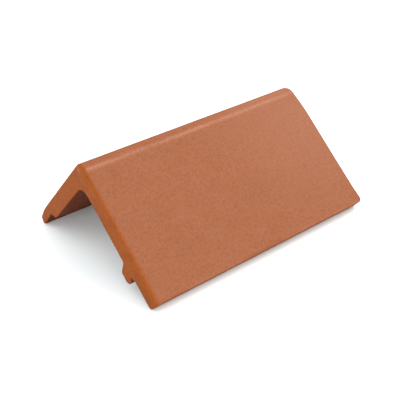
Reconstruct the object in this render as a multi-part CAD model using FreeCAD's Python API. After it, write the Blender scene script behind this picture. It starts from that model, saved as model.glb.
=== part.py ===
import FreeCAD, Part
import math
import os

# Angle ridge tile, pressed and fired in one piece of clay.
# Millimetres, +Z up, +X along the ridge. The tile stands on its two lower edges.
# The section lies in the YZ plane: the near wing falls towards -Y, the far wing towards +Y.
# A place in a wing is given by how far it lies down the wing from the sharp corner that the
# two outer faces would make, and how deep it lies under the outer face.

TILE_LENGTH = 300.0
WING_LENGTH = 169.0
RIDGE_ANGLE = 93.7
RIDGE_ROUND = 14.0
HOLLOW_ROUND = 16.0

# near wing: a rib across the inner face, and a thinner wall below the rib
NEAR_WALL = 24.0
RIB_UNDERSIDE = 133.5
RIB_FACE = 16.0
RIB_DEPTH = 16.0
RIB_SLOPE = 6.0
RIB_ROUND = 5.0
RIB_BLEND = 3.5
NEAR_EDGE_WALL = 21.0
STEP_BLEND = 2.5
EDGE_ROUND = 4.5

# far wing: a sloped step, and below it a thin lip that leans in towards the hollow
FAR_WALL = 21.3
FAR_STEP = 131.5
FAR_STEP_SLOPE = 9.5
FAR_STEP_ROUND = 2.8
FAR_LIP = 12.7
FAR_LIP_LEAN = 4.5
FAR_BEND = 155.0
FAR_BEND_ROUND = 90.0
FAR_DRAW_IN = 3.5
FAR_TIP_ROUND = 4.5

# the two ends are cut square and their edges wiped round
END_ROUND = 2.2

ridge_angle = math.radians(RIDGE_ANGLE)
half_angle = ridge_angle / 2
down_y = math.sin(half_angle)
down_z = math.cos(half_angle)


def reach(down, deep, corner):
    """How far below the sharp ridge corner a rounded lower corner comes."""
    return (down - corner) * down_z + (deep - corner) * down_y + corner


# the far wing runs down as low as the near one, so the tile stands level
tile_height_sharp = reach(WING_LENGTH, NEAR_EDGE_WALL, EDGE_ROUND)
lean = math.radians(FAR_LIP_LEAN)
lip_top = FAR_STEP + FAR_STEP_SLOPE
lip_line = FAR_LIP - lip_top * math.tan(lean) - FAR_TIP_ROUND / math.cos(lean)
far_rest = tile_height_sharp - FAR_TIP_ROUND - lip_line * down_y
far_length = far_rest / (down_z + math.tan(lean) * down_y) + FAR_TIP_ROUND
far_foot = FAR_LIP + (far_length - lip_top) * math.tan(lean)


def near(down, deep):
    """A place in the near wing."""
    y = -down * down_y + deep * down_z
    z = tile_height_sharp - down * down_z - deep * down_y
    return FreeCAD.Vector(0, y, z)


def far(down, deep):
    """A place in the far wing."""
    y = down * down_y - deep * down_z
    z = tile_height_sharp - down * down_z - deep * down_y
    return FreeCAD.Vector(0, y, z)


def rounded_outline(corners):
    """A closed wire through the corners, each rounded by its own radius."""
    edges = []
    starts = []
    ends = []
    count = len(corners)
    for i in range(count):
        point, radius = corners[i]
        back = (corners[i - 1][0] - point).normalize()
        on = (corners[(i + 1) % count][0] - point).normalize()
        half = back.getAngle(on) / 2
        tangent = radius / math.tan(half)
        middle = (back + on).normalize()
        centre = point + middle * (radius / math.sin(half))
        starts.append(point + back * tangent)
        ends.append(point + on * tangent)
        top = centre - middle * radius
        edges.append(Part.Arc(starts[i], top, ends[i]).toShape())
    for i in range(count):
        after = (i + 1) % count
        edges.append(Part.LineSegment(ends[i], starts[after]).toShape())
    return Part.Wire(Part.sortEdges(edges)[0])


rib_top = RIB_UNDERSIDE - RIB_FACE
rib_level = NEAR_WALL + RIB_DEPTH

# the two inner faces meet this far down the near wing
hollow_top = (FAR_WALL + NEAR_WALL * math.cos(ridge_angle)) / math.sin(ridge_angle)

corners = [
    (near(0, 0), RIDGE_ROUND),
    (near(WING_LENGTH, 0), EDGE_ROUND),
    (near(WING_LENGTH, NEAR_EDGE_WALL), EDGE_ROUND),
    (near(RIB_UNDERSIDE, NEAR_EDGE_WALL), STEP_BLEND),
    (near(RIB_UNDERSIDE, rib_level), RIB_ROUND),
    (near(rib_top, rib_level), RIB_ROUND),
    (near(rib_top - RIB_SLOPE, NEAR_WALL), RIB_BLEND),
    (near(hollow_top, NEAR_WALL), HOLLOW_ROUND),
    (far(FAR_STEP, FAR_WALL), FAR_STEP_ROUND),
    (far(lip_top, FAR_LIP), FAR_STEP_ROUND),
    (far(far_length, far_foot), FAR_TIP_ROUND),
    (far(far_length, FAR_DRAW_IN), FAR_TIP_ROUND),
    (far(FAR_BEND, 0), FAR_BEND_ROUND),
]

section = Part.Face(rounded_outline(corners))
section.translate(FreeCAD.Vector(-TILE_LENGTH / 2, 0, 0))
tile = section.extrude(FreeCAD.Vector(TILE_LENGTH, 0, 0))

# the box round the section sets where the middle of the tile lies across
box = tile.optimalBoundingBox(False, False)
tile.translate(FreeCAD.Vector(0, -(box.YMin + box.YMax) / 2, -box.ZMin))

end_edges = []
for edge in tile.Edges:
    flat = edge.BoundBox.XLength < 0.01
    if flat:
        end_edges.append(edge)
tile = tile.makeFillet(END_ROUND, end_edges)

os.makedirs("parts", exist_ok=True)
tile.exportStep("parts/ridge_tile.step")
print("solids", len(tile.Solids), "valid", tile.isValid(), "volume cm3", round(tile.Volume / 1000, 1))
box = tile.optimalBoundingBox(False, False)
print("box", box)
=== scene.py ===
import math

import bmesh
import bpy
from mathutils import Matrix, Vector, noise


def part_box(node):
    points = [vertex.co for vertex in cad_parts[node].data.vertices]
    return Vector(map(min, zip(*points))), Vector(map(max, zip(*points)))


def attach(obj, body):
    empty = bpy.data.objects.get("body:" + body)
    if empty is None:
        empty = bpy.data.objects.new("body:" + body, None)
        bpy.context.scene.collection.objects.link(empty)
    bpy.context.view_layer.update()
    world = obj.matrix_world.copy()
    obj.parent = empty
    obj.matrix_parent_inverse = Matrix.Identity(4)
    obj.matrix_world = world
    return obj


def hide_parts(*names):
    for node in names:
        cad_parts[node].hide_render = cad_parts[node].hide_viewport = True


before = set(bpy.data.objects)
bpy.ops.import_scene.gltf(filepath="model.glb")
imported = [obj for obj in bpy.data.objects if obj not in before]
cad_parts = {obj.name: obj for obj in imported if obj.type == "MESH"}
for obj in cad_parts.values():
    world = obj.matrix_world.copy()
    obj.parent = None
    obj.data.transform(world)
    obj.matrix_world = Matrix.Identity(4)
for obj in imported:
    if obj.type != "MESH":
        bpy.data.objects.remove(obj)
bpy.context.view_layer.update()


# ---------------------------------------------------------------- ridge tile: its shape
# The whole tile is one pressed length of clay, bent to a V. Both ends were cut square while
# the clay was soft, and the edges were wiped round by hand, the outer ones more than the inner.

low, high = (Vector(corner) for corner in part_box("ridge_tile"))
tile_length = high.x - low.x
ridge_angle = math.radians(93.7)
half_angle = ridge_angle / 2
wing_length = 0.169
ridge_round = 0.014
hollow_round = 0.016

near_wall = 0.024
rib_underside = 0.1335
rib_face = 0.016
rib_depth = 0.016
rib_slope = 0.006
rib_round = 0.005
rib_blend = 0.0035
near_edge_wall = 0.021
step_blend = 0.0025
edge_round = 0.0045

far_wall = 0.0213
far_step = 0.1315
far_step_slope = 0.0095
far_step_round = 0.0028
far_lip = 0.0127
far_lip_lean = math.radians(4.5)
far_bend = 0.155
far_bend_round = 0.090
far_draw_in = 0.0035
far_tip_round = 0.0045

sine = math.sin(half_angle)
cosine = math.cos(half_angle)
near_down = Vector((0, -sine, -cosine))
near_inward = Vector((0, cosine, -sine))
far_down = Vector((0, sine, -cosine))
far_inward = Vector((0, -cosine, -sine))

# the sharp corner over the ridge follows from where the rounded near edge meets the box
edge_reach = wing_length - edge_round
ridge_y = low.y + edge_round + edge_reach * sine - edge_round * cosine
ridge_z = edge_reach * cosine + (near_edge_wall - edge_round) * sine + edge_round
ridge_corner = Vector((low.x, ridge_y, ridge_z))
lip_top = far_step + far_step_slope
lip_line = far_lip - lip_top * math.tan(far_lip_lean) - far_tip_round / math.cos(far_lip_lean)
far_rest = ridge_z - far_tip_round - lip_line * sine
far_length = far_rest / (cosine + math.tan(far_lip_lean) * sine) + far_tip_round
far_foot = far_lip + (far_length - lip_top) * math.tan(far_lip_lean)


def near(down, deep):
    """A place in the near wing: so far down from the ridge, so deep under the outer face."""
    return ridge_corner + near_down * down + near_inward * deep


def far(down, deep):
    """A place in the far wing, told the same way."""
    return ridge_corner + far_down * down + far_inward * deep


rib_top = rib_underside - rib_face
rib_level = near_wall + rib_depth
hollow_top = (far_wall + near_wall * math.cos(ridge_angle)) / math.sin(ridge_angle)
section_corners = [
    (near(0, 0), ridge_round, 14),
    (near(wing_length, 0), edge_round, 7),
    (near(wing_length, near_edge_wall), edge_round, 7),
    (near(rib_underside, near_edge_wall), step_blend, 5),
    (near(rib_underside, rib_level), rib_round, 7),
    (near(rib_top, rib_level), rib_round, 6),
    (near(rib_top - rib_slope, near_wall), rib_blend, 5),
    (near(hollow_top, near_wall), hollow_round, 12),
    (far(far_step, far_wall), far_step_round, 4),
    (far(lip_top, far_lip), far_step_round, 4),
    (far(far_length, far_foot), far_tip_round, 6),
    (far(far_length, far_draw_in), far_tip_round, 6),
    (far(far_bend, 0), far_bend_round, 8),
]

# the outline: each corner's place, the radius of its round and the flats in that round
clay = bmesh.new()
section = clay.faces.new([clay.verts.new(place) for place, _, _ in section_corners])
corner_verts = list(section.verts)
count = len(corner_verts)
for i in range(count):
    place, radius, segments = section_corners[i]
    back = (section_corners[i - 1][0] - place).normalized()
    on = (section_corners[(i + 1) % count][0] - place).normalized()
    tangent = radius / math.tan(back.angle(on) / 2)
    bmesh.ops.bevel(clay, geom=[corner_verts[i]], offset=tangent, offset_type="OFFSET",
                    affect="VERTICES", segments=segments, profile=0.5, material=-1)

pressed = bmesh.ops.extrude_face_region(clay, geom=clay.faces[:])
pressed_verts = [item for item in pressed["geom"] if isinstance(item, bmesh.types.BMVert)]
bmesh.ops.translate(clay, verts=pressed_verts, vec=(tile_length, 0, 0))
bmesh.ops.recalc_face_normals(clay, faces=clay.faces[:])


touching = 1e-6


def slice_wing(is_near, place, way):
    """Cut fresh lines across one wing, for the relief to work on."""
    faces = [face for face in clay.faces
             if (face.calc_center_median().y < ridge_corner.y) == is_near]
    verts = {vert for face in faces for vert in face.verts}
    edges = {edge for face in faces for edge in face.edges}
    bmesh.ops.bisect_plane(clay, geom=[*verts, *edges, *faces], dist=touching,
                           plane_co=place, plane_no=way)


def rows_down(length, features):
    """Even steps down a wing that keep clear of its corners."""
    step = 0.002
    keep_clear = 0.0048
    first = 7
    rows = [step * k for k in range(first, int(length / step) + 1)]
    return [row for row in rows if all(abs(row - place) > keep_clear for place in features)]


bmesh.ops.bisect_plane(clay, geom=[*clay.verts, *clay.edges, *clay.faces], dist=touching,
                       plane_co=ridge_corner, plane_no=(0, 1, 0))
for row in rows_down(wing_length, (rib_top - rib_slope, rib_top, rib_underside, wing_length)):
    slice_wing(True, near(row, 0), near_down)
for row in rows_down(far_length, (far_step, lip_top, far_length)):
    slice_wing(False, far(row, 0), far_down)

# lines along each wing at these depths, kept clear of the wiped edges
near_depths = (0.0105, 0.0145, 0.028, 0.032)
far_depths = (0.0105, 0.0165)
for deep in near_depths:
    slice_wing(True, near(0, deep), near_inward)
for deep in far_depths:
    slice_wing(False, far(0, deep), far_inward)

# rings along the tile: close together where the end's edge is rounded, then even
outer_wipe = 0.0027
inner_wipe = 0.0013
wipe_rings = 6
ring_count = 160
long_edges = [edge for edge in clay.edges
              if abs(edge.verts[0].co.x - edge.verts[1].co.x) > tile_length / 2]
bmesh.ops.subdivide_edges(clay, edges=long_edges, cuts=ring_count - 1, use_grid_fill=True)


def ring_distance(ring):
    """How far the given ring stands from its end of the tile."""
    if ring <= wipe_rings:
        return outer_wipe * (1 - math.cos(math.pi / 2 * ring / wipe_rings))
    even = (tile_length / 2 - outer_wipe) / (ring_count / 2 - wipe_rings)
    return outer_wipe + even * (ring - wipe_rings)


def smooth_step(value, start, end):
    """Rise from 0 to 1 between the start and the end, with no sharp bend."""
    t = min(max((value - start) / (end - start), 0.0), 1.0)
    return t * t * (3 - 2 * t)


def wing_place(place):
    """The wing that a place is in: how far down it, how deep in it, and how long it is."""
    arm = place - ridge_corner
    arm.x = 0
    if place.y < ridge_corner.y:
        return arm.dot(near_down), arm.dot(near_inward), wing_length
    return arm.dot(far_down), arm.dot(far_inward), far_length


# the edges of the near end's ridge are the crispest and the far end's the most worn
press_unevenness = 0.12
near_ridge_wear = 0.1
far_ridge_wear = 1.6
far_foot_spared = 0.5

# how far in from each end the skin is worn through, and how much of it there is elsewhere
near_skin_worn = 0.0056
far_skin_worn = 0.0024
edge_skin = 0.45
face_skin = 0.55
# how strong the painted highlights are on the top of the ridge's roll and along the foot
roll_highlight_amount = 0.3
foot_highlight_amount = 0.6

# how much the outer skin covers each point, where the cut ends show, where the colour is paler,
# partly as painted highlight, and which faces are inside the hollow, for their painted shade
skin_layer = clay.verts.layers.float.new("skin")
cut_layer = clay.verts.layers.float.new("cut_face")
pale_and_highlight_layer = clay.verts.layers.float.new("pale_and_highlight")
hollow_layer = clay.verts.layers.float.new("hollow")
moves = {}
for vert in clay.verts:
    x = vert.co.x - low.x
    ring = round(x / tile_length * ring_count)
    from_end = ring_distance(min(ring, ring_count - ring))
    at_far_end = ring > ring_count / 2
    vert.co.x = high.x - from_end if at_far_end else low.x + from_end

    side = Vector()
    for face in vert.link_faces:
        if abs(face.normal.x) < 0.5:
            side += face.normal
    down, deep, reach = wing_place(vert.co)
    on_cut = ring in (0, ring_count) and side.length == 0
    if on_cut:
        vert[cut_layer] = 1.0
        continue
    side.normalize()

    # the hand that wiped the edge pressed now more, now less
    unevenness = 1 + press_unevenness * noise.noise(Vector((x * 3, down * 22, deep * 30 + 7)))
    wipe = outer_wipe + (inner_wipe - outer_wipe) * smooth_step(deep, 0.003, 0.012)
    ridge_wear = far_ridge_wear if at_far_end else near_ridge_wear
    wipe *= unevenness * (1 + ridge_wear * (1 - smooth_step(down + deep, 0.006, 0.045)))
    if at_far_end:
        wipe *= 1 - far_foot_spared * smooth_step(down, reach - 0.020, reach - 0.004)
    if from_end < wipe:
        inset = wipe - math.sqrt(from_end * (2 * wipe - from_end))
        moves[vert] = side * -inset
        vert[cut_layer] = 1 - from_end / wipe

    outward = max(side.dot(-near_inward), side.dot(-far_inward))
    facing = smooth_step(outward, 0.84, 0.97)
    off_ridge = smooth_step(down, 0.0055, 0.0100)
    off_foot = smooth_step(reach - down, 0.0012, 0.0035)
    worn_end = far_skin_worn if at_far_end else near_skin_worn
    off_end = smooth_step(from_end, 0.0006, worn_end)
    cover = edge_skin * smooth_step(outward, 0.0, 0.3)
    cover += face_skin * facing * off_ridge * off_foot
    vert[skin_layer] = cover * off_end

    # a pale line where the ridge's roll runs out into the flat of each wing
    below_roll = smooth_step(down, 0.0090, 0.0118) * (1 - smooth_step(down, 0.0122, 0.0165))
    # painted highlight on the top of the ridge's roll
    roll_top = (1 - smooth_step(down, 0.0060, 0.0100)) * smooth_step(outward, 0.3, 0.7)

    # and a painted highlight along the foot, whose underside lies in shade
    foot_highlight = smooth_step(down, reach - 0.0045, reach - 0.0015) * smooth_step(outward, 0.0, 0.35)
    paler = facing * below_roll + roll_highlight_amount * roll_top + foot_highlight_amount * foot_highlight
    vert[pale_and_highlight_layer] = paler * off_end

    # the hollow mask, for the painted shade on the faces inside the hollow
    off_edge = smooth_step(reach - down, 0.002, 0.006) * smooth_step(from_end, 0.0001, 0.0012)
    vert[hollow_layer] = smooth_step(deep, 0.008, 0.0125) * off_edge

for vert, move in moves.items():
    vert.co += move

# The clay is a little uneven: slow waves from drying, faint drag lines left by the die, and
# small dents. Every move is inward, so the tile keeps its outside size.
wave_depth = 0.00022
ripple_depth = 0.00010
grain_depth = 0.00004
drag_depth = 0.00003
dent_depth = 0.00030
clay.normal_update()
relief = {}
for vert in clay.verts:
    place = vert.co
    wave = 0.5 + 0.5 * noise.noise(place * 14)
    ripple = 0.5 + 0.5 * noise.noise(place * 55 + Vector((3, 1, 8)))
    grain = 0.5 + 0.5 * noise.noise(place * 210 + Vector((5, 2, 4)))
    drag = 0.5 + 0.5 * noise.noise(Vector((place.x * 9, place.y * 260, place.z * 260)))
    depth = wave_depth * wave + ripple_depth * ripple + grain_depth * grain + drag_depth * drag
    dent = noise.noise(place * 95 + Vector((11, 7, 2)))
    depth += dent_depth * smooth_step(dent, 0.48, 0.75)
    relief[vert] = vert.normal * -depth
for vert, move in relief.items():
    vert.co += move

for face in clay.faces:
    face.smooth = True
tile_mesh = bpy.data.meshes.new("ridge_tile_clay")
clay.to_mesh(tile_mesh)
clay.free()
ridge_tile = bpy.data.objects.new("ridge_tile_clay", tile_mesh)
bpy.context.scene.collection.objects.link(ridge_tile)


# --------------------------------------------------------------- ridge tile: its surface
# Plain unglazed terracotta. The outer faces carry a dry, paler and pinker skin; where it is
# wiped thin, on the ridge, the edges and the cut ends, the warmer orange body shows.

body_colour = (0.200, 0.0455, 0.0035, 1)
skin_colour = (0.200, 0.0685, 0.0315, 1)
# a pale colour for the pale line, the dab and the painted highlights, and for the paler far end
pale_colour = (0.285, 0.125, 0.078, 1)
# painted shade for the faces inside the hollow
painted_hollow_shade = (0.52, 0.365, 0.15, 1)
# painted shade for the dark notch under the rib at the near end
painted_notch_shade = (0.22, 0.16, 0.12, 1)

fired_clay = bpy.data.materials.new("fired_clay")
fired_clay.use_nodes = True
tree = fired_clay.node_tree
tree.nodes.clear()


def node(kind, **settings):
    """A new node of the clay's material."""
    made = tree.nodes.new(kind)
    for name, value in settings.items():
        setattr(made, name, value)
    return made


def clay_noise(scale, detail, roughness, stretch=(1, 1, 1)):
    """A noise over the tile, its scale in cycles a metre."""
    mapping = node("ShaderNodeMapping")
    mapping.inputs["Scale"].default_value = stretch
    tree.links.new(object_place.outputs["Object"], mapping.inputs["Vector"])
    texture = node("ShaderNodeTexNoise")
    texture.inputs["Scale"].default_value = scale
    texture.inputs["Detail"].default_value = detail
    texture.inputs["Roughness"].default_value = roughness
    tree.links.new(mapping.outputs["Vector"], texture.inputs["Vector"])
    return texture.outputs["Fac"]


def spread(source, low_in, high_in, low_out, high_out):
    """Map one range of values to another, held at both ends."""
    made = node("ShaderNodeMapRange", clamp=True)
    made.inputs["From Min"].default_value = low_in
    made.inputs["From Max"].default_value = high_in
    made.inputs["To Min"].default_value = low_out
    made.inputs["To Max"].default_value = high_out
    tree.links.new(source, made.inputs["Value"])
    return made.outputs["Result"]


def product(first, second):
    """Two values multiplied."""
    made = node("ShaderNodeMath", operation="MULTIPLY")
    tree.links.new(first, made.inputs[0])
    tree.links.new(second, made.inputs[1])
    return made.outputs["Value"]


def tint(base, factor, colour, blend="MIX"):
    """Lay a colour over the base where the factor is high."""
    made = node("ShaderNodeMix", data_type="RGBA", blend_type=blend, clamp_factor=True)
    tree.links.new(factor, made.inputs["Factor"])
    if isinstance(base, tuple):
        made.inputs[6].default_value = base
    else:
        tree.links.new(base, made.inputs[6])
    made.inputs[7].default_value = colour
    return made.outputs[2]


object_place = node("ShaderNodeTexCoord")
skin = node("ShaderNodeAttribute", attribute_name="skin").outputs["Fac"]
cut_face = node("ShaderNodeAttribute", attribute_name="cut_face").outputs["Fac"]
pale_and_highlight = node("ShaderNodeAttribute", attribute_name="pale_and_highlight").outputs["Fac"]
hollow = node("ShaderNodeAttribute", attribute_name="hollow").outputs["Fac"]

# the skin is thicker in some places than in others
skin_patches = spread(clay_noise(60, 4, 0.6), 0.30, 0.62, 0.80, 1.0)
colour = tint(body_colour, product(skin, skin_patches), skin_colour)
# the pale line and the painted highlights, laid on in patches
pale_patches = spread(clay_noise(45, 4, 0.6, (0.3, 1, 1)), 0.35, 0.60, 0.20, 0.70)
colour = tint(colour, product(pale_and_highlight, pale_patches), pale_colour)

# painted shade: the faces inside the hollow are darkened, standing in for the shade that falls
# there
colour = tint(colour, hollow, painted_hollow_shade, "MULTIPLY")

# slow changes from the firing, then smaller mottles, then fine light and dark grains
fire_dark = spread(clay_noise(16, 3, 0.55), 0.50, 0.72, 0.0, 0.30)
colour = tint(colour, fire_dark, (0.86, 0.82, 0.78, 1), "MULTIPLY")
fire_light = spread(clay_noise(21, 3, 0.5), 0.52, 0.75, 0.0, 0.25)
colour = tint(colour, fire_light, (1.10, 1.12, 1.14, 1), "MULTIPLY")
mottle_dark = spread(clay_noise(380, 4, 0.6), 0.46, 0.64, 0.0, 0.95)
colour = tint(colour, mottle_dark, (0.86, 0.80, 0.75, 1), "MULTIPLY")
mottle_light = spread(clay_noise(470, 4, 0.65), 0.48, 0.66, 0.0, 0.80)
colour = tint(colour, mottle_light, (1.10, 1.15, 1.18, 1), "MULTIPLY")
dark_grain = spread(clay_noise(950, 3, 0.6), 0.58, 0.70, 0.0, 0.55)
colour = tint(colour, dark_grain, (0.70, 0.62, 0.56, 1), "MULTIPLY")
light_grain = spread(clay_noise(1150, 3, 0.6), 0.64, 0.74, 0.0, 0.15)
colour = tint(colour, light_grain, (0.66, 0.36, 0.24, 1))

# the wire that cut the ends dragged grains along and left fine lines
drag_lines = spread(clay_noise(70, 4, 0.7, (1, 1.5, 22)), 0.45, 0.70, 0.0, 0.5)
colour = tint(colour, product(cut_face, drag_lines), (0.84, 0.78, 0.72, 1), "MULTIPLY")

# paler towards the far end of the ridge: partly painted light, where the key light falls brighter,
# and partly a paler skin
pale_place = Vector((high.x - 0.02, ridge_corner.y - 0.03, ridge_corner.z - 0.03))
from_pale = node("ShaderNodeVectorMath", operation="DISTANCE")
tree.links.new(object_place.outputs["Object"], from_pale.inputs[0])
from_pale.inputs[1].default_value = pale_place
colour = tint(colour, spread(from_pale.outputs["Value"], 0.02, 0.14, 0.24, 0.0), pale_colour)

# dark and light clouds on the cut ends
cut_dark = spread(clay_noise(55, 3, 0.6), 0.48, 0.66, 0.0, 0.55)
colour = tint(colour, product(cut_face, cut_dark), (0.76, 0.70, 0.60, 1), "MULTIPLY")
cut_light = spread(clay_noise(38, 3, 0.6), 0.52, 0.70, 0.0, 0.50)
colour = tint(colour, product(cut_face, cut_light), (1.16, 1.22, 1.30, 1), "MULTIPLY")

# a pale dab beside the top of the near end
dab_place = ridge_corner + Vector((0, 0.004, -0.0115))
from_dab = node("ShaderNodeVectorMath", operation="DISTANCE")
tree.links.new(object_place.outputs["Object"], from_dab.inputs[0])
from_dab.inputs[1].default_value = dab_place
near_dab = spread(from_dab.outputs["Value"], 0.0010, 0.0060, 0.8, 0.0)
dab_patches = spread(clay_noise(240, 3, 0.6), 0.40, 0.56, 0.15, 0.75)
colour = tint(colour, product(near_dab, dab_patches), pale_colour)

# painted shade: a dark spot in the near end, where the underside of the rib meets the wall,
# standing in for the shadow in that corner
notch_shade_place = near(rib_underside - 0.0005, near_edge_wall + 0.0045)
from_notch_shade = node("ShaderNodeVectorMath", operation="DISTANCE")
tree.links.new(object_place.outputs["Object"], from_notch_shade.inputs[0])
from_notch_shade.inputs[1].default_value = notch_shade_place
notch_shade_mask = spread(from_notch_shade.outputs["Value"], 0.0018, 0.0045, 0.95, 0.0)
colour = tint(colour, notch_shade_mask, painted_notch_shade, "MULTIPLY")

shader = node("ShaderNodeBsdfPrincipled")
shader.inputs["Specular IOR Level"].default_value = 0.12
tree.links.new(colour, shader.inputs["Base Color"])
tree.links.new(spread(clay_noise(300, 4, 0.6), 0.35, 0.65, 0.62, 0.80), shader.inputs["Roughness"])

fine_bump = node("ShaderNodeBump")
fine_bump.inputs["Strength"].default_value = 0.55
fine_bump.inputs["Distance"].default_value = 0.00022
tree.links.new(clay_noise(1400, 5, 0.65), fine_bump.inputs["Height"])
broad_bump = node("ShaderNodeBump")
broad_bump.inputs["Strength"].default_value = 0.6
broad_bump.inputs["Distance"].default_value = 0.0005
tree.links.new(clay_noise(260, 4, 0.6), broad_bump.inputs["Height"])
tree.links.new(fine_bump.outputs["Normal"], broad_bump.inputs["Normal"])
tree.links.new(broad_bump.outputs["Normal"], shader.inputs["Normal"])
surface = node("ShaderNodeOutputMaterial")
tree.links.new(shader.outputs["BSDF"], surface.inputs["Surface"])

tile_mesh.materials.append(fired_clay)
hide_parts("ridge_tile")
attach(ridge_tile, "root")


# ------------------------------------------------------------- floor, lights and camera
# A plain pale floor under a soft sky. The main light is a broad one above and beyond the far
# end, so the near end and the hollow lie in the tile's own shade.

floor_half_width = 6.0
floor_form = bmesh.new()
bmesh.ops.create_grid(floor_form, x_segments=1, y_segments=1, size=floor_half_width)
floor_mesh = bpy.data.meshes.new("floor")
floor_form.to_mesh(floor_mesh)
floor_form.free()
floor = bpy.data.objects.new("floor", floor_mesh)
bpy.context.scene.collection.objects.link(floor)
pale = bpy.data.materials.new("pale_floor")
pale.use_nodes = True
pale_shader = pale.node_tree.nodes["Principled BSDF"]
pale_shader.inputs["Base Color"].default_value = (0.765, 0.785, 0.785, 1)
pale_shader.inputs["Roughness"].default_value = 0.9
pale_shader.inputs["Specular IOR Level"].default_value = 0.0
floor_mesh.materials.append(pale)

sky = bpy.data.worlds.new("soft_sky")
sky.use_nodes = True
sky_nodes = sky.node_tree.nodes
sky_nodes["Background"].inputs["Color"].default_value = (0.98, 0.99, 1.0, 1)
sky_way = sky_nodes.new("ShaderNodeTexCoord")
sky_height = sky_nodes.new("ShaderNodeSeparateXYZ")
sky_strength = sky_nodes.new("ShaderNodeMapRange")
sky_strength.inputs["To Min"].default_value = 1.00
sky_strength.inputs["To Max"].default_value = 1.90
sky.node_tree.links.new(sky_way.outputs["Generated"], sky_height.inputs["Vector"])
sky.node_tree.links.new(sky_height.outputs["Z"], sky_strength.inputs["Value"])
sky.node_tree.links.new(sky_strength.outputs["Result"],
                        sky_nodes["Background"].inputs["Strength"])
bpy.context.scene.world = sky

key_light = bpy.data.lights.new("key_light", "AREA")
key_light.shape = "DISK"
key_light.size = 2.4
key_light.energy = 27.0
key_light.color = (1.0, 0.99, 0.97)
key = bpy.data.objects.new("key_light", key_light)
key_place = Vector((1.08, -0.22, 1.02))
key.matrix_world = (Matrix.Translation(key_place)
                    @ key_place.to_track_quat("Z", "Y").to_matrix().to_4x4())
bpy.context.scene.collection.objects.link(key)

# a weak broad light from the front keeps the shadows under the edges soft and pale
fill_light = bpy.data.lights.new("fill_light", "AREA")
fill_light.shape = "DISK"
fill_light.size = 1.5
fill_light.energy = 36.0
fill_light.color = (0.95, 1.0, 1.0)
fill = bpy.data.objects.new("fill_light", fill_light)
fill_place = Vector((-1.65, -1.30, 0.65))
fill.matrix_world = (Matrix.Translation(fill_place)
                     @ fill_place.to_track_quat("Z", "Y").to_matrix().to_4x4())
bpy.context.scene.collection.objects.link(fill)

camera_place = ridge_corner + Vector((-0.3125, -0.6319, 0.3425))
camera_heading = math.radians(53.738)
camera_pitch = math.radians(29.843)
camera_roll = math.radians(-3.788)
camera_data = bpy.data.cameras.new("camera")
camera_data.sensor_width = 36.0
camera_data.lens = 67.80
camera = bpy.data.objects.new("camera", camera_data)
turn = (Matrix.Rotation(camera_heading - math.pi / 2, 4, "Z")
        @ Matrix.Rotation(math.pi / 2 - camera_pitch, 4, "X")
        @ Matrix.Rotation(camera_roll, 4, "Z"))
camera.matrix_world = Matrix.Translation(camera_place) @ turn
bpy.context.scene.collection.objects.link(camera)
bpy.context.scene.camera = camera
bpy.context.scene.view_settings.view_transform = "Standard"
